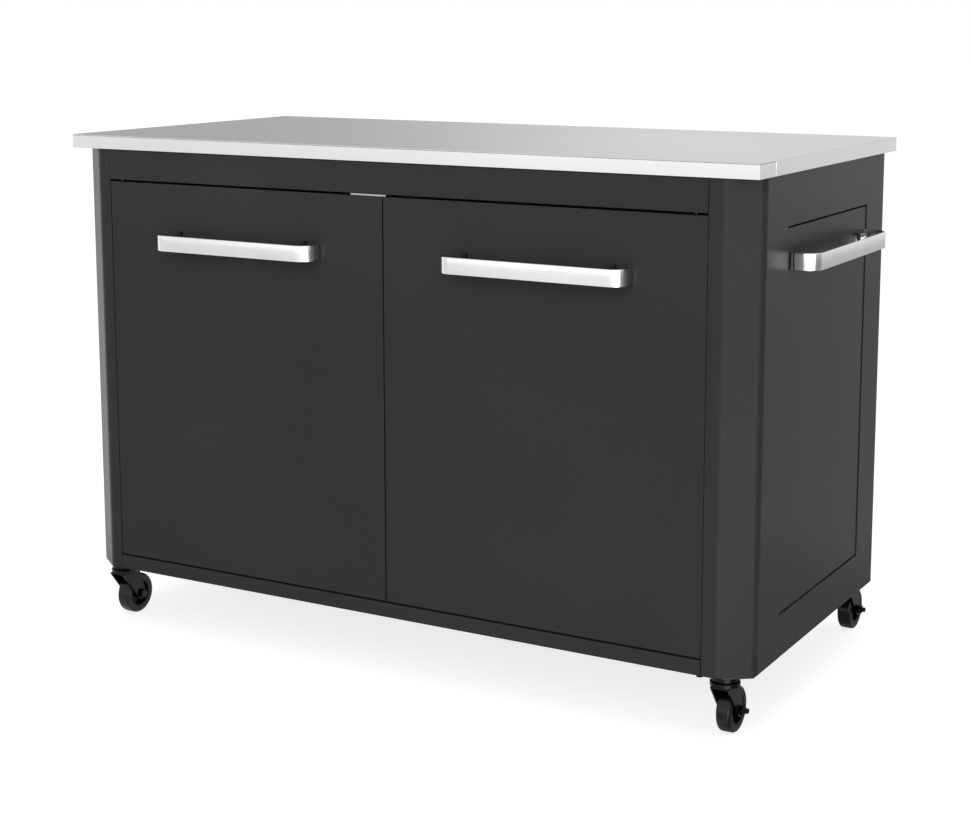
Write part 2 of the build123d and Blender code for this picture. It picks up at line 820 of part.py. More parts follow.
save("right_door_skin", right_door_skin())
save("left_door_skin", flip_x(right_door_skin()))
save("right_door_liner", right_door_liner())
save("left_door_liner", flip_x(right_door_liner()))
save("right_door_bushes", *right_door_bushes())
save("left_door_bushes", *[flip_x(bush) for bush in right_door_bushes()])
save("hinge_pins", *hinge_pins())
save("left_door_strike", left_strike())
save("right_door_strike", right_strike())
right_housing, right_magnet = catch_pair()
save("door_catches", right_housing, flip_x(right_housing))
save("catch_magnets", right_magnet, flip_x(right_magnet))

door_bar = handle_bar(door_handle_length, door_handle_reach)
door_clips = handle_clips(door_handle_length, door_clip_tall)
for name, side in (("left", -1), ("right", 1)):
    save(f"{name}_door_handle", door_place(side) * door_bar)
    save(f"{name}_handle_clips", *[door_place(side) * clip for clip in door_clips])
save("side_handle", side_place * handle_bar(side_handle_length, side_handle_reach))
side_clips = handle_clips(side_handle_length, side_clip_tall)
save("side_handle_clips", *[side_place * clip for clip in side_clips])

corners = [("front_left", -1, -1), ("front_right", 1, -1), ("rear_left", -1, 1), ("rear_right", 1, 1)]
swivels = [Pos(side_x * caster_x, side_y * caster_y, 0) for _, side_x, side_y in corners]
for (name, side_x, side_y), swivel in zip(corners, swivels):
    save(f"{name}_caster_plate", swivel * caster_plate(side_x, side_y))
    save(f"{name}_fork", swivel * fork())
    save(f"{name}_axle", *[swivel * piece for piece in axle(side_x)])
    save(f"{name}_hub", swivel * hub())
    save(f"{name}_tyre", swivel * tyre())
save("caster_kingpins", *[swivel * kingpin() for swivel in swivels])
save("caster_bolts", *[b for _, side_x, side_y in corners for b in caster_bolts(side_x, side_y)])
right_mounts = [front_right_mount(), flip_y(front_right_mount())]
save("caster_mounts", *right_mounts, *[flip_x(mount) for mount in right_mounts])
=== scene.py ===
import bpy
import json
import math
from mathutils import Matrix, Vector


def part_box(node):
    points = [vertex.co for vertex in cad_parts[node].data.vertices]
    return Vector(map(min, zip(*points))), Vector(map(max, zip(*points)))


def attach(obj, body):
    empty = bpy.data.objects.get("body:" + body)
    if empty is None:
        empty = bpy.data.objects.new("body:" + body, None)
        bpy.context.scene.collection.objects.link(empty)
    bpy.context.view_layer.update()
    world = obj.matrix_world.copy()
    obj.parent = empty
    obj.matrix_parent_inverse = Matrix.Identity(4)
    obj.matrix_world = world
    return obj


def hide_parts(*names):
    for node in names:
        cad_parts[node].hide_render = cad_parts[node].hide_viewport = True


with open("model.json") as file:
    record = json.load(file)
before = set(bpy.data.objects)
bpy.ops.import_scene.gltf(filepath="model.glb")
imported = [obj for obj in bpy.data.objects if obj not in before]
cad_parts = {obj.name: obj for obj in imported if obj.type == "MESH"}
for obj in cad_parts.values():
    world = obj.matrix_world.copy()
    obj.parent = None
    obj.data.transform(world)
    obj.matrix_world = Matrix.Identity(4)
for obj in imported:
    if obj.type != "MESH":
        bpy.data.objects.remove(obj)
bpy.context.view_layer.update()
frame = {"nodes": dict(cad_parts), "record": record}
bpy.ops.object.select_all(action="DESELECT")
print("frame loaded,", len(frame["nodes"]), "CAD nodes")

# Camera, solved from the straight edges in the photo and set from the middle of the worktop
camera = {
    "offset": (1.50555, -2.61764),
    "height": 1.02649,
    "azimuth": 29.36,     # degrees from -Y towards +X
    "elevation": 9.05,    # degrees, looking down
    "sensor": 36,
    "lens": 69.03,
    "shift": (-0.01288, -0.11603),
}
topLow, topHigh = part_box("worktop_skin")
topMiddle = (topLow + topHigh) / 2


def placeCamera():
    x, y = camera["offset"]
    bpy.ops.object.camera_add(location=(topMiddle.x + x, topMiddle.y + y, camera["height"]))
    shot = bpy.context.object
    shot.name = "shotCamera"
    shot.rotation_euler = (math.radians(90 - camera["elevation"]), 0, math.radians(camera["azimuth"]))
    shot.data.sensor_width = camera["sensor"]
    shot.data.lens = camera["lens"]
    shot.data.shift_x, shot.data.shift_y = camera["shift"]
    bpy.context.scene.camera = shot


placeCamera()
print("camera placed")


# Studio: white floor and surround, and three soft lamps
def grey(level):
    return (level, level, level)


def addMath(tree, operation, first, second):
    sums = tree.nodes.new("ShaderNodeMath")
    sums.operation = operation
    for socket, value in zip(sums.inputs, (first, second)):
        if isinstance(value, (int, float)):
            socket.default_value = value
        else:
            tree.links.new(value, socket)
    return sums.outputs[0]


def addSplit(tree, vector):
    split = tree.nodes.new("ShaderNodeSeparateXYZ")
    tree.links.new(vector, split.inputs[0])
    return split.outputs


def addRange(tree, value, span, levels, curve="LINEAR"):
    spread = tree.nodes.new("ShaderNodeMapRange")
    spread.interpolation_type = curve
    spread.inputs["From Min"].default_value, spread.inputs["From Max"].default_value = span
    spread.inputs["To Min"].default_value, spread.inputs["To Max"].default_value = levels
    tree.links.new(value, spread.inputs["Value"])
    return spread.outputs["Result"]


# Change of level along one way: none at the start of its span, all of it at the end
def addStep(tree, coords, step):
    facing = tree.nodes.new("ShaderNodeVectorMath")
    facing.operation = "DOT_PRODUCT"
    facing.inputs[1].default_value = Vector(step["way"]).normalized()
    tree.links.new(coords, facing.inputs[0])
    return addRange(tree, facing.outputs["Value"], step["span"], (0, step["change"]), "SMOOTHSTEP")


# Floor, with a level of its own for what the metal and the coat mirror of it: a painted reflection that
# glows only to those rays
floorLook = {
    "size": 60,
    "colour": 0.50,
    "seen": 0.80,         # glow that the camera sees, so that only the shadow is grey
    # painted reflection: brighter far behind on the right, and far out in front
    "sideRise": {"way": (0.50, 0.87, 0.0), "span": (4.0, 9.5), "change": 0.75},
    "farRise": {"way": (0.15, -0.99, 0.0), "span": (6.8, 8.4), "change": 0.55},
    # painted shadow: the mirrored glow is darker close to the cabinet
    "nearShadow": 0.50,     # darker close to the cabinet
    "nearReach": 0.60,
    "fanTop": 6.0,        # the level that a full mark on the ramp stands for
}
# Painted reflection: mirrored level by the direction from the front right corner, in degrees from +X; the
# pool of 4.8 between -54 and -38 degrees is a painted softbox
paintedGlowFan = (
    (-180, 1.35), (-160, 0.90), (-134, 0.90), (-119, 1.05), (-105, 1.04),
    (-80, 1.2), (-54, 4.8), (-38, 4.8), (-10, 0.3), (25, 0.3),
    (50, 0.54), (105, 0.54), (150, 1.25), (174, 1.4), (180, 1.35),
)


# Painted shadow of the cabinet in the floor's mirrored glow: a loss close to the cabinet, by the distance
# from its box
def addPaintedShadow(tree, coords, low, high):
    place = addSplit(tree, coords)
    gaps = []
    for axis, start, end in (("X", low.x, high.x), ("Y", low.y, high.y)):
        shift = addMath(tree, "SUBTRACT", place[axis], (start + end) / 2)
        gaps.append(addMath(tree, "SUBTRACT", addMath(tree, "ABSOLUTE", shift, 0), (end - start) / 2))
    gap = addMath(tree, "MAXIMUM", *gaps)
    return addRange(tree, gap, (0, floorLook["nearReach"]), (floorLook["nearShadow"], 0), "SMOOTHSTEP")


# Level by direction round a point on the floor
def addFan(tree, coords, point, stops):
    offset = tree.nodes.new("ShaderNodeVectorMath")
    offset.operation = "SUBTRACT"
    offset.inputs[1].default_value = point
    tree.links.new(coords, offset.inputs[0])
    place = addSplit(tree, offset.outputs["Vector"])
    turn = addMath(tree, "ARCTAN2", place["Y"], place["X"])
    share = addMath(tree, "ADD", addMath(tree, "DIVIDE", turn, 2 * math.pi), 0.5)
    ramp = tree.nodes.new("ShaderNodeValToRGB")
    ramp.color_ramp.interpolation = "EASE"
    marks = ramp.color_ramp.elements
    marks.remove(marks[1])
    for i, (degrees, level) in enumerate(stops):
        position = degrees / 360 + 0.5
        mark = marks[0] if i == 0 else marks.new(position)
        mark.position = position
        mark.color = (*grey(level / floorLook["fanTop"]), 1)
    tree.links.new(share, ramp.inputs["Fac"])
    return addMath(tree, "MULTIPLY", ramp.outputs["Color"], floorLook["fanTop"])


def addMirrored(tree, coords):
    postLow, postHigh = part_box("front_right_post")
    fan = addFan(tree, coords, ((postLow.x + postHigh.x) / 2, postLow.y, 0), paintedGlowFan)
    rise = addStep(tree, coords, floorLook["sideRise"])
    far = addStep(tree, coords, floorLook["farRise"])
    # painted shadow of the cabinet, taken off the mirrored glow
    paintedShadow = addPaintedShadow(tree, coords, *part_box("base_pan"))
    change = addMath(tree, "SUBTRACT", addMath(tree, "ADD", rise, far), paintedShadow)
    return addMath(tree, "MULTIPLY", fan, addMath(tree, "ADD", change, 1))


def addMix(tree, share, first, second):
    both = tree.nodes.new("ShaderNodeMixShader")
    tree.links.new(share, both.inputs["Fac"])
    tree.links.new(first.outputs[0], both.inputs[1])
    tree.links.new(second.outputs[0], both.inputs[2])
    return both


def makeFloor():
    bpy.ops.mesh.primitive_plane_add(size=floorLook["size"])
    floor = bpy.context.object
    floor.name = "studioFloor"
    paint = bpy.data.materials.new("floorPaint")
    paint.use_nodes = True
    tree = paint.node_tree
    tree.nodes.clear()
    out = tree.nodes.new("ShaderNodeOutputMaterial")
    rays = tree.nodes.new("ShaderNodeLightPath").outputs
    coords = tree.nodes.new("ShaderNodeTexCoord").outputs["Object"]
    matt = tree.nodes.new("ShaderNodeBsdfDiffuse")
    matt.inputs["Color"].default_value = (*grey(floorLook["colour"]), 1)
    seen = tree.nodes.new("ShaderNodeEmission")
    glow = addMath(tree, "MULTIPLY", rays["Is Camera Ray"], floorLook["seen"])
    tree.links.new(glow, seen.inputs["Strength"])
    direct = tree.nodes.new("ShaderNodeAddShader")
    tree.links.new(matt.outputs[0], direct.inputs[0])
    tree.links.new(seen.outputs[0], direct.inputs[1])
    # painted reflection: a glow that only glossy and transmission rays see
    mirrored = tree.nodes.new("ShaderNodeEmission")
    tree.links.new(addMirrored(tree, coords), mirrored.inputs["Strength"])
    shown = addMath(tree, "MAXIMUM", rays["Is Glossy Ray"], rays["Is Transmission Ray"])
    both = addMix(tree, shown, direct, mirrored)
    tree.links.new(both.outputs[0], out.inputs["Surface"])
    floor.data.materials.append(paint)


surround = {
    "ambient": 0.50,      # what lights the matt colours
    "mirrored": 0.825,    # what the metal and the coat see round the horizon
    # losses behind on the left, for the left end of the worktop, and behind on the right, for the side
    "behindLoss": {"way": (-0.87, 0.50, 0.0), "span": (0.79, 0.905), "change": 0.415},
    "asideLoss": {"way": (0.50, 0.87, 0.0), "span": (0.5, 0.98), "change": 0.10},
    # gain in front, for the worktop's front edge, and the height over which it fades out
    "frontGain": {"way": (-0.17, -0.98, 0.0), "span": (0.88, 0.95), "change": 0.80},
    "fade": {"way": (0.0, 0.0, 1.0), "span": (0.03, 0.16), "change": 1.0},
}


def makeSurround():
    world = bpy.data.worlds.new("studioSurround")
    bpy.context.scene.world = world
    world.use_nodes = True
    tree = world.node_tree
    tree.nodes.clear()
    out = tree.nodes.new("ShaderNodeOutputWorld")
    rays = tree.nodes.new("ShaderNodeLightPath").outputs
    coords = tree.nodes.new("ShaderNodeTexCoord").outputs["Generated"]
    white = tree.nodes.new("ShaderNodeBackground")
    ambient = tree.nodes.new("ShaderNodeBackground")
    mirrored = tree.nodes.new("ShaderNodeBackground")
    for light in (white, ambient, mirrored):
        light.inputs["Color"].default_value = (1, 1, 1, 1)
    ambient.inputs["Strength"].default_value = surround["ambient"]
    low = addMath(tree, "SUBTRACT", 1, addStep(tree, coords, surround["fade"]))
    gain = addMath(tree, "MULTIPLY", addStep(tree, coords, surround["frontGain"]), low)
    level = addMath(tree, "ADD", surround["mirrored"], gain)
    for loss in ("behindLoss", "asideLoss"):
        level = addMath(tree, "SUBTRACT", level, addStep(tree, coords, surround[loss]))
    tree.links.new(level, mirrored.inputs["Strength"])
    byMirror = addMix(tree, rays["Is Glossy Ray"], ambient, mirrored)
    seen = addMath(tree, "MAXIMUM", rays["Is Camera Ray"], rays["Is Transmission Ray"])
    byCamera = addMix(tree, seen, byMirror, white)
    tree.links.new(byCamera.outputs[0], out.inputs["Surface"])


lamps = {
    "keySoft": {"place": (0.9, -3.5, 2.2), "size": (3.2, 2.2), "power": 34},
    "sideSoft": {"place": (3.6, 0.4, 1.9), "size": (2.4, 2.0), "power": 4},
    "topSoft": {"place": (0.0, 0.2, 3.6), "size": (3.0, 2.4), "power": 34},
}
aimPoint = Vector((0, 0, 0.45))


def makeLamps():
    for name, lamp in lamps.items():
        bpy.ops.object.light_add(type="AREA", location=lamp["place"])
        soft = bpy.context.object
        soft.name = name
        soft.data.shape = "RECTANGLE"
        soft.data.size, soft.data.size_y = lamp["size"]
        soft.data.energy = lamp["power"]
        soft.rotation_euler = (aimPoint - soft.location).to_track_quat("-Z", "Y").to_euler()
        soft.visible_camera = False
        soft.visible_glossy = False  # the metal mirrors only the surround and the floor


makeFloor()
makeSurround()
makeLamps()
bpy.context.scene.view_settings.view_transform = "Standard"
print("studio lit")

# Finishes: a noise is given by its scale and detail, a bump by its strength and its depth in metres
noiseSpan = (0.3, 0.7)    # most of a noise lies between these
even = (1, 1, 1)          # a noise that isn't stretched


def startFinish(name):
    finish = bpy.data.materials.new(name)
    finish.use_nodes = True
    tree = finish.node_tree
    coords = tree.nodes.new("ShaderNodeTexCoord")
    return finish, tree, tree.nodes["Principled BSDF"].inputs, coords.outputs


def addNoise(tree, coords, noise, stretch=even):
    mapping = tree.nodes.new("ShaderNodeMapping")
    mapping.inputs["Scale"].default_value = stretch
    grain = tree.nodes.new("ShaderNodeTexNoise")
    grain.inputs["Scale"].default_value, grain.inputs["Detail"].default_value = noise
    tree.links.new(coords["Object"], mapping.inputs["Vector"])
    tree.links.new(mapping.outputs["Vector"], grain.inputs["Vector"])
    return grain.outputs["Fac"]


def addCells(tree, coords, scale):
    cells = tree.nodes.new("ShaderNodeTexVoronoi")
    cells.inputs["Scale"].default_value = scale
    tree.links.new(coords["Object"], cells.inputs["Vector"])
    return cells.outputs["Distance"]


def addTint(tree, value, dark, light):
    ramp = tree.nodes.new("ShaderNodeValToRGB")
    for mark, position, colour in zip(ramp.color_ramp.elements, noiseSpan, (dark, light)):
        mark.position = position
        mark.color = (*colour, 1)
    tree.links.new(value, ramp.inputs["Fac"])
    return ramp.outputs["Color"]


# A colour made darker and lighter by a second pattern: sockets 6, 7 and 2 of the mix are its colours
def addShade(tree, colour, value, shades):
    shade = tree.nodes.new("ShaderNodeMix")
    shade.data_type = "RGBA"
    shade.blend_type = "MULTIPLY"
    shade.inputs[0].default_value = 1.0
    tree.links.new(colour, shade.inputs[6])
    tree.links.new(addTint(tree, value, *map(grey, shades)), shade.inputs[7])
    return shade.outputs[2]


def addRough(tree, value, roughness, shader):
    tree.links.new(addRange(tree, value, noiseSpan, roughness), shader["Roughness"])


def addBump(tree, value, bump, shader):
    relief = tree.nodes.new("ShaderNodeBump")
    relief.inputs["Strength"].default_value, relief.inputs["Distance"].default_value = bump
    tree.links.new(value, relief.inputs["Height"])
    tree.links.new(relief.outputs["Normal"], shader["Normal"])


coat = {"speckle": (900, 4), "patch": (2.5, 2), "patchShades": (0.9, 1.1), "bump": (0.10, 0.0002)}


def powderCoat(name, dark, light, roughness, shine):
    finish, tree, shader, coords = startFinish(name)
    speckle = addNoise(tree, coords, coat["speckle"])
    patch = addNoise(tree, coords, coat["patch"])
    colour = addShade(tree, addTint(tree, speckle, dark, light), patch, coat["patchShades"])
    tree.links.new(colour, shader["Base Color"])
    shader["Specular IOR Level"].default_value = shine
    addRough(tree, speckle, roughness, shader)
    addBump(tree, speckle, coat["bump"], shader)
    return finish


brushing = {
    "noise": (1.0, 4),
    "along": (12, 2200, 2200),
    "across": (2200, 12, 2200),   # end faces are brushed along their own length
    "endFacing": 0.7,             # a face that looks this far along X is an end face
    "satin": (14, 14, 1900),
    "topCloud": (3.0, 2),
    "handleCloud": (20, 2),
    "cloudShades": (0.97, 1.02),
    "bump": (0.015, 0.0001),
}


def addEndChoice(tree, coords, along, across):
    facing = addMath(tree, "ABSOLUTE", addSplit(tree, coords["Normal"])["X"], 0)
    choice = tree.nodes.new("ShaderNodeMix")
    tree.links.new(addMath(tree, "GREATER_THAN", facing, brushing["endFacing"]), choice.inputs[0])
    tree.links.new(along, choice.inputs[2])
    tree.links.new(across, choice.inputs[3])
    return choice.outputs[0]


def dressSteel(tree, shader, scratch, cloud, dark, light, roughness):
    colour = addShade(tree, addTint(tree, scratch, dark, light), cloud, brushing["cloudShades"])
    tree.links.new(colour, shader["Base Color"])
    shader["Metallic"].default_value = 1.0
    addRough(tree, scratch, roughness, shader)
    addBump(tree, scratch, brushing["bump"], shader)


def brushedSteel(name, dark, light, roughness):
    finish, tree, shader, coords = startFinish(name)
    along = addNoise(tree, coords, brushing["noise"], brushing["along"])
    across = addNoise(tree, coords, brushing["noise"], brushing["across"])
    scratch = addEndChoice(tree, coords, along, across)
    cloud = addNoise(tree, coords, brushing["topCloud"])
    dressSteel(tree, shader, scratch, cloud, dark, light, roughness)
    return finish


def satinSteel(name, dark, light, roughness):
    finish, tree, shader, coords = startFinish(name)
    scratch = addNoise(tree, coords, brushing["noise"], brushing["satin"])
    cloud = addNoise(tree, coords, brushing["handleCloud"])
    dressSteel(tree, shader, scratch, cloud, dark, light, roughness)
    return finish


lacquer = {"peel": (260, 2), "dust": (40, 5), "dustLift": 1.5, "bump": (0.06, 0.0004)}


def glossBlack(name, tone, roughness, shine):
    finish, tree, shader, coords = startFinish(name)
    shader["Specular IOR Level"].default_value = shine
    peel = addNoise(tree, coords, lacquer["peel"])
    dust = addNoise(tree, coords, lacquer["dust"])
    colour = addTint(tree, dust, grey(tone), grey(tone * lacquer["dustLift"]))
    tree.links.new(colour, shader["Base Color"])
    addRough(tree, dust, roughness, shader)
    addBump(tree, peel, lacquer["bump"], shader)
    return finish


plating = {
    "spangle": 600,
    "spangleShades": (0.9, 1.05),
    "cloud": (150, 3),
    "roughness": (0.28, 0.42),
    "bump": (0.08, 0.0001),
}


def zincPlate(name, dark, light):
    finish, tree, shader, coords = startFinish(name)
    spangle = addCells(tree, coords, plating["spangle"])
    cloud = addNoise(tree, coords, plating["cloud"])
    colour = addShade(tree, addTint(tree, cloud, dark, light), spangle, plating["spangleShades"])
    tree.links.new(colour, shader["Base Color"])
    shader["Metallic"].default_value = 1.0
    addRough(tree, cloud, plating["roughness"], shader)
    addBump(tree, cloud, plating["bump"], shader)
    return finish


board = {
    "chips": 260,
    "chipShades": (0.75, 1.1),
    "fibre": (420, 4),
    "fibreStretch": (1, 3, 3),
    "dark": (0.24, 0.16, 0.09),
    "light": (0.42, 0.31, 0.19),
    "roughness": (0.7, 0.9),
    "bump": (0.3, 0.0006),
}


def chipBoard(name):
    finish, tree, shader, coords = startFinish(name)
    chips = addCells(tree, coords, board["chips"])
    fibre = addNoise(tree, coords, board["fibre"], board["fibreStretch"])
    colour = addShade(tree, addTint(tree, fibre, board["dark"], board["light"]), chips, board["chipShades"])
    tree.links.new(colour, shader["Base Color"])
    addRough(tree, fibre, board["roughness"], shader)
    addBump(tree, chips, board["bump"], shader)
    return finish


moulding = {"grain": (1500, 3), "bump": (0.1, 0.0001)}


def mouldedPlastic(name, dark, light, roughness, shine):
    finish, tree, shader, coords = startFinish(name)
    shader["Specular IOR Level"].default_value = shine
    grain = addNoise(tree, coords, moulding["grain"])
    tree.links.new(addTint(tree, grain, grey(dark), grey(light)), shader["Base Color"])
    addRough(tree, grain, roughness, shader)
    addBump(tree, grain, moulding["bump"], shader)
    return finish


# Dark and light colour, range of roughness, and the shine of what isn't metal
finishes = {
    "stainless": brushedSteel("brushedTop", (0.73, 0.73, 0.72), (0.75, 0.75, 0.74), (0.26, 0.29)),
    "handle_steel": satinSteel("satinHandle", (0.77, 0.77, 0.76), (0.80, 0.80, 0.79), (0.15, 0.19)),
    "powder_coat": powderCoat("bodyCoat", (0.042, 0.042, 0.043), (0.060, 0.060, 0.0615), (0.26, 0.34), 0.08),
    "inner_coat": powderCoat("innerCoat", (0.034, 0.034, 0.035), (0.048, 0.048, 0.0492), (0.36, 0.46), 0.10),
    "core_board": chipBoard("coreBoard"),
    "zinc": zincPlate("zincPlate", (0.50, 0.50, 0.49), (0.66, 0.66, 0.64)),
    "nylon": mouldedPlastic("blackNylon", 0.003, 0.006, (0.6, 0.75), 0.05),
    "black_plastic": mouldedPlastic("blackClip", 0.006, 0.012, (0.4, 0.55), 0.4),
    "magnet": zincPlate("magnetSteel", (0.10, 0.10, 0.105), (0.16, 0.16, 0.165)),
    "caster_steel": glossBlack("casterGloss", 0.002, (0.10, 0.16), 0.28),
    "wheel_plastic": mouldedPlastic("wheelCore", 0.002, 0.004, (0.22, 0.32), 0.12),
    "tyre_rubber": mouldedPlastic("tyreRubber", 0.003, 0.006, (0.20, 0.28), 0.42),
}
slotOf = {part["node"]: part["material_slot"] for part in frame["record"]["subparts"]}
bodyOf = {node: body for body, nodes in frame["record"]["behaviour"]["bodies"].items() for node in nodes}
for node, piece in frame["nodes"].items():
    piece.data.materials.clear()
    piece.data.materials.append(finishes[slotOf[node]])
print("finishes on", len(slotOf), "nodes")

# Ways of modelling that several pieces share
weldGap = 1e-6            # points closer than this are one
flatTurn = 0.5            # degrees: faces that turn less than this are one
quarterTurn = math.radians(90)


def deselectAll():
    bpy.ops.object.select_all(action="DESELECT")


def openMesh(piece):
    deselectAll()
    piece.select_set(True)
    bpy.context.view_layer.objects.active = piece
    bpy.ops.object.mode_set(mode="EDIT")
    bpy.ops.mesh.select_all(action="SELECT")


def closeMesh(angle):
    bpy.ops.mesh.select_all(action="SELECT")
    bpy.ops.mesh.remove_doubles(threshold=weldGap)
    bpy.ops.mesh.normals_make_consistent(inside=False)
    bpy.ops.object.mode_set(mode="OBJECT")
    bpy.ops.object.shade_smooth_by_angle(angle=math.radians(angle))


def applyModifier(piece, modifier):
    bpy.context.view_layer.objects.active = piece
    bpy.ops.object.modifier_apply(modifier=modifier.name)


def fit(piece, node):
    piece.data.materials.clear()
    piece.data.materials.append(finishes[slotOf[node]])
    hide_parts(node)
    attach(piece, bodyOf[node])


def copyOf(piece, name, change):
    twin = bpy.data.objects.new(name, piece.data.copy())
    bpy.context.scene.collection.objects.link(twin)
    twin.data.transform(change)
    return twin


def boxMiddle(node):
    low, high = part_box(node)
    return (low + high) / 2


def keepFlat(piece):
    flat = piece.modifiers.new("flatFaces", "WEIGHTED_NORMAL")
    flat.keep_sharp = True
    applyModifier(piece, flat)


# A copy of a CAD piece with its sharp edges broken
def broken(node, name, width, segments=2, angle=35):
    deselectAll()
    piece = bpy.data.objects.new(name, frame["nodes"][node].data.copy())
    bpy.context.scene.collection.objects.link(piece)
    openMesh(piece)
    bpy.ops.mesh.customdata_custom_splitnormals_clear()
    bpy.ops.mesh.remove_doubles(threshold=weldGap)
    bpy.ops.mesh.dissolve_limited(angle_limit=math.radians(flatTurn))
    bpy.ops.object.mode_set(mode="OBJECT")
    edge = piece.modifiers.new("brokenEdge", "BEVEL")
    edge.width = width
    edge.segments = segments
    edge.limit_method = "ANGLE"
    edge.angle_limit = math.radians(angle)
    applyModifier(piece, edge)
    openMesh(piece)
    closeMesh(angle)
    keepFlat(piece)
    fit(piece, node)


# Round piece about the X axis: profile points are (along, radius)
def spun(name, profile, steps, angle):
    deselectAll()
    bpy.ops.mesh.primitive_plane_add(size=0.001)  # merged to the profile's first point
    piece = bpy.context.object
    piece.name = name
    openMesh(piece)
    bpy.ops.mesh.merge(type="CENTER")
    bpy.ops.transform.translate(value=(profile[0][0], 0, profile[0][1]))
    for (x0, r0), (x1, r1) in zip(profile, profile[1:]):
        bpy.ops.mesh.extrude_vertices_move(TRANSFORM_OT_translate={"value": (x1 - x0, 0, r1 - r0)})
    bpy.ops.mesh.select_all(action="SELECT")
    bpy.ops.mesh.spin(steps=steps, angle=2 * math.pi, center=(0, 0, 0), axis=(1, 0, 0))
    closeMesh(angle)
    return piece


def arc(x, r, radius, start, end, steps):
    turns = [math.radians(start + (end - start) * i / steps) for i in range(steps + 1)]
    return [(x + radius * math.cos(t), r + radius * math.sin(t)) for t in turns]


# Handles, bent from flat strip with narrower feet
handle = {
    "tall": 0.025,
    "strip": 0.003,
    "bend": 0.0225,
    "bendSteps": 14,
    "foot": 0.042,
    "footTall": 0.013,
    "footBend": 0.0032,
    "footSteps": 6,
    "edge": 0.0006,
    "edgeSteps": 3,
    "halvesGap": 1e-5,    # how far apart the two halves may be to join
    "smooth": 40,
}


def runOn(x, y):
    bpy.ops.mesh.extrude_region_move(TRANSFORM_OT_translate={"value": (x, y, 0)})


def bendOn(steps, x, y):
    bpy.ops.mesh.spin(steps=steps, angle=quarterTurn, center=(x, y, 0), axis=(0, 0, 1))


def modelHandle(name, length, reach):
    half, strip = length / 2, handle["strip"]
    bend, footBend = handle["bend"], handle["footBend"]
    deselectAll()
    bpy.ops.mesh.primitive_plane_add(size=1, rotation=(0, quarterTurn, 0))
    bpy.ops.object.transform_apply(location=True, rotation=True, scale=True)
    bar = bpy.context.object
    bar.name = name
    openMesh(bar)
    bpy.ops.transform.resize(value=(1, strip, handle["footTall"]), center_override=(0, 0, 0))
    bpy.ops.transform.translate(value=(half - handle["foot"], -strip / 2, 0))
    bpy.ops.mesh.bevel(offset=handle["edge"], segments=handle["edgeSteps"], affect="VERTICES")
    bpy.ops.mesh.delete(type="ONLY_FACE")
    bpy.ops.mesh.select_all(action="SELECT")
    runOn(handle["foot"] - footBend, 0)
    runOn(0, 0)  # step from the narrow foot to the full strip
    bpy.ops.transform.resize(value=(1, 1, handle["tall"] / handle["footTall"]), center_override=(half, 0, 0))
    bendOn(handle["footSteps"], half - footBend, -footBend)
    runOn(0, -(reach - bend - footBend))
    bendOn(handle["bendSteps"], half - bend, -(reach - bend))
    runOn(-(half - bend), 0)
    bpy.ops.object.mode_set(mode="OBJECT")
    mirror = bar.modifiers.new("otherHalf", "MIRROR")
    mirror.merge_threshold = handle["halvesGap"]
    applyModifier(bar, mirror)
    openMesh(bar)
    bpy.ops.mesh.fill_holes(sides=0)
    closeMesh(handle["smooth"])
    return bar


def placeHandles():
    low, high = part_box("left_door_handle")
    left = modelHandle("leftBar", high.x - low.x, high.y - low.y)
    right = copyOf(left, "rightBar", Matrix())
    low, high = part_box("side_handle")
    side = modelHandle("sideBar", high.y - low.y, high.x - low.x)
    side.data.transform(Matrix.Rotation(quarterTurn, 4, "Z"))
    side.data.transform(Matrix.Translation((low.x, (low.y + high.y) / 2, (low.z + high.z) / 2)))
    for bar, node in ((left, "left_door_handle"), (right, "right_door_handle")):
        low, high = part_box(node)
        bar.data.transform(Matrix.Translation(((low.x + high.x) / 2, high.y, (low.z + high.z) / 2)))
        fit(bar, node)
    fit(side, "side_handle")


placeHandles()
print("handles bent")

# Casters: wheels turned from profiles, hex bolts with broken corners
tyre = {
    "radius": 0.034,
    "half": 0.011,
    "bore": 0.023,
    "shoulder": 0.004,
    "shoulderSteps": 8,
    "crown": 0.0002,      # the tread is this much higher in the middle
    "crownSide": 0.0035,  # and has lost a quarter of it here
    "groove": 0.0005,     # depth of the ring in the side, and its edges from the bore
    "grooveIn": 0.0025,
    "grooveOut": 0.0047,
    "grooveSlope": 0.0005,
}
hub = {
    "half": 0.011,
    "rim": 0.0229,
    "rimWall": 0.003,
    "rimEdge": 0.0005,
    "web": 0.003,         # half of its thickness
    "fillet": 0.001,
    "filletSteps": 4,
    "bossRadius": 0.009,
    "bossEnd": 0.0119,
    "bossEdge": 0.0008,
    "hole": 0.00405,
}
axle = {
    "legOuter": 0.0147,
    "radius": 0.004,
    "hexRadius": 0.0075,
    "headHeight": 0.0053,
    "nutHeight": 0.0065,
    "threadEnd": 0.0055,
    "pitch": 0.00125,
    "threadDepth": 0.00055,
    "tip": 0.0006,        # length of the cone at the end, and what it takes off the radius
    "tipDepth": 0.0008,
    "corner": 0.0006,
    "cornerSteps": 3,
}
# Steps round each turned piece, and the angle in degrees up to which its faces are smooth
turned = {"wheelSteps": 72, "wheelSmooth": 40, "shankSteps": 40, "shankSmooth": 50, "hexSmooth": 35}
folded = {"forkEdge": 0.0007, "forkSteps": 3, "plateEdge": 0.0005}
corners = ("front_right", "front_left", "rear_right", "rear_left")


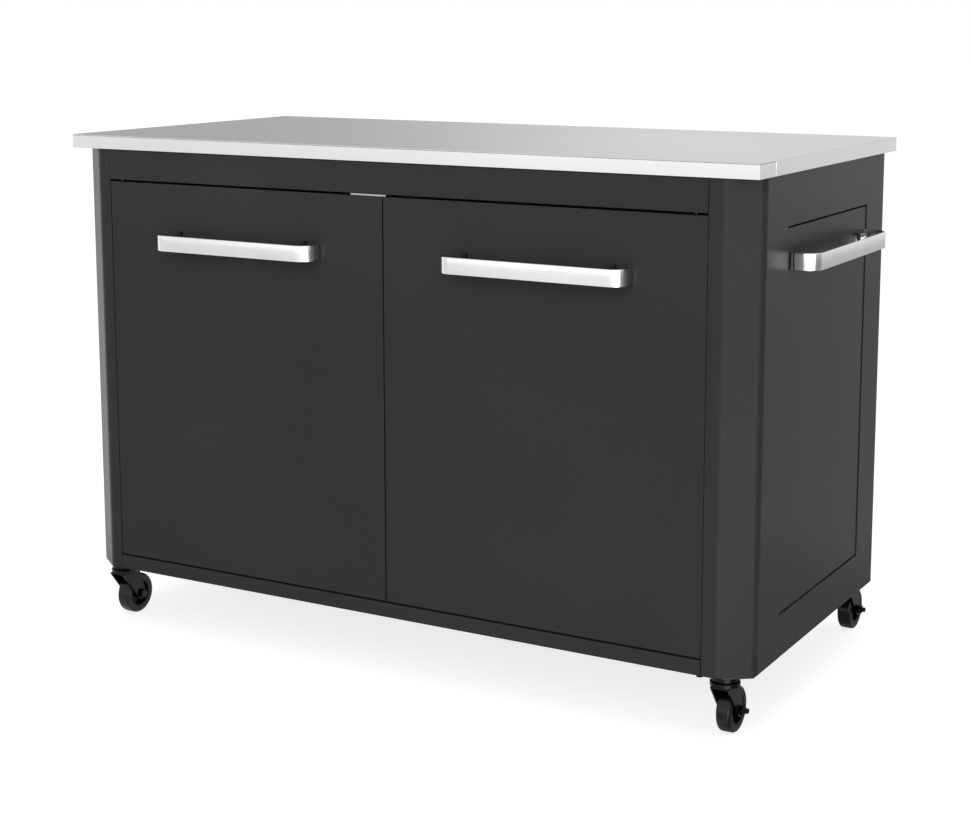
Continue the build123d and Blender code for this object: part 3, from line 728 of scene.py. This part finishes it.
def modelTyre():
    half, radius, shoulder, bore = tyre["half"], tyre["radius"], tyre["shoulder"], tyre["bore"]
    low, deep, slope = radius - tyre["crown"], half - tyre["groove"], tyre["grooveSlope"]
    inner, outer = bore + tyre["grooveIn"], bore + tyre["grooveOut"]
    side = [(half, bore), (half, inner), (deep, inner + slope), (deep, outer - slope), (half, outer)]
    side += arc(half - shoulder, low - shoulder, shoulder, 0, 90, tyre["shoulderSteps"])
    side += [(tyre["crownSide"], radius - tyre["crown"] / 4), (0, radius)]
    profile = side + [(-x, r) for x, r in side[-2::-1]] + [side[0]]
    return spun("tyreRing", profile, turned["wheelSteps"], turned["wheelSmooth"])


def modelHub():
    half, boss, end, hole = hub["half"], hub["bossRadius"], hub["bossEnd"], hub["hole"]
    rim, edge, fillet, steps = hub["rim"], hub["rimEdge"], hub["fillet"], hub["filletSteps"]
    inner, bend = rim - hub["rimWall"], hub["web"] + fillet
    side = [(end, hole), (end, boss - hub["bossEdge"]), (end - hub["bossEdge"], boss)]
    side += arc(bend, boss + fillet, fillet, 270, 180, steps)
    side += arc(bend, inner - fillet, fillet, 180, 90, steps)
    side += [(half - edge, inner), (half, inner + edge), (half, rim - edge), (half - edge, rim)]
    profile = side + [(-x, r) for x, r in side[::-1]] + [side[0]]
    return spun("wheelHub", profile, turned["wheelSteps"], turned["wheelSmooth"])


def modelShank():
    out, radius, pitch = axle["legOuter"], axle["radius"], axle["pitch"]
    end = out + axle["nutHeight"] + axle["threadEnd"]
    tip = end - axle["tip"]
    profile = [(-out, 0), (-out, radius), (out, radius)]
    x = out
    while x + pitch < tip:
        profile += [(x + pitch / 2, radius - axle["threadDepth"]), (x + pitch, radius)]
        x += pitch
    profile += [(tip, radius), (end, radius - axle["tipDepth"]), (end, 0)]
    return spun("axleShank", profile, turned["shankSteps"], turned["shankSmooth"])


def modelHex(name, start, end):
    deselectAll()
    bpy.ops.mesh.primitive_cylinder_add(
        vertices=6,
        radius=axle["hexRadius"],
        depth=end - start,
        location=((start + end) / 2, 0, 0),
        rotation=(0, quarterTurn, 0),
    )
    piece = bpy.context.object
    piece.name = name
    bpy.ops.object.transform_apply(location=True, rotation=True, scale=True)
    openMesh(piece)
    bpy.ops.mesh.bevel(offset=axle["corner"], segments=axle["cornerSteps"], affect="EDGES")
    closeMesh(turned["hexSmooth"])
    return piece


def modelAxle():
    out = axle["legOuter"]
    shank = modelShank()
    head = modelHex("axleHead", -out - axle["headHeight"], -out)
    nut = modelHex("axleNut", out, out + axle["nutHeight"])
    deselectAll()
    for piece in (head, nut, shank):
        piece.select_set(True)
    bpy.context.view_layer.objects.active = shank
    bpy.ops.object.join()
    return shank


def placeCasters():
    models = {"tyre": modelTyre(), "hub": modelHub(), "axle": modelAxle()}
    for corner in corners:
        middle = boxMiddle(f"{corner}_tyre")
        front, side = corner.split("_")
        name = front + side.capitalize()
        for kind, model in models.items():
            change = Matrix.Translation(middle)
            if kind == "axle" and side == "left":
                change = change @ Matrix.Rotation(2 * quarterTurn, 4, "Z")
            fit(copyOf(model, name + kind.capitalize(), change), f"{corner}_{kind}")
        broken(f"{corner}_fork", name + "Fork", folded["forkEdge"], folded["forkSteps"])
        broken(f"{corner}_caster_plate", name + "Plate", folded["plateEdge"])
    for model in models.values():
        bpy.data.objects.remove(model)


placeCasters()
print("casters modelled")

# Folded, moulded and small pieces, and how far their sharp edges are broken
edges = {
    "worktop_skin": ("topSkin", 0.0007),
    "worktop_front_edge": ("frontEdge", 0.0007),
    "worktop_screws": ("topScrews", 0.0004),
    "frame_bolts": ("frameBolts", 0.0004),
    "panel_screws": ("panelScrews", 0.0003),
    "caster_bolts": ("casterBolts", 0.0004),
    "left_handle_clips": ("leftClips", 0.0005),
    "right_handle_clips": ("rightClips", 0.0005),
    "side_handle_clips": ("sideClips", 0.0005),
    "left_door_strike": ("leftStrike", 0.0002),
    "right_door_strike": ("rightStrike", 0.0003),
    "door_catches": ("catchBodies", 0.0008),
    "catch_magnets": ("catchMagnets", 0.0003),
    "shelf_brackets": ("shelfBrackets", 0.0005),
    "hinge_pins": ("hingePins", 0.0004),
    "left_door_bushes": ("leftBushes", 0.0002),
    "right_door_bushes": ("rightBushes", 0.0002),
    "left_door_liner": ("leftLiner", 0.0003),
    "right_door_liner": ("rightLiner", 0.0003),
    "left_side_panel": ("leftPanel", 0.0004),
    "right_side_panel": ("rightPanel", 0.0004),
    "left_side_rails": ("leftRails", 0.0004),
    "right_side_rails": ("rightRails", 0.0004),
    "caster_mounts": ("casterMounts", 0.0004),
    "caster_kingpins": ("kingpins", 0.0006),
}
for node, (name, width) in edges.items():
    broken(node, name, width)
print(len(edges), "pieces with broken edges")
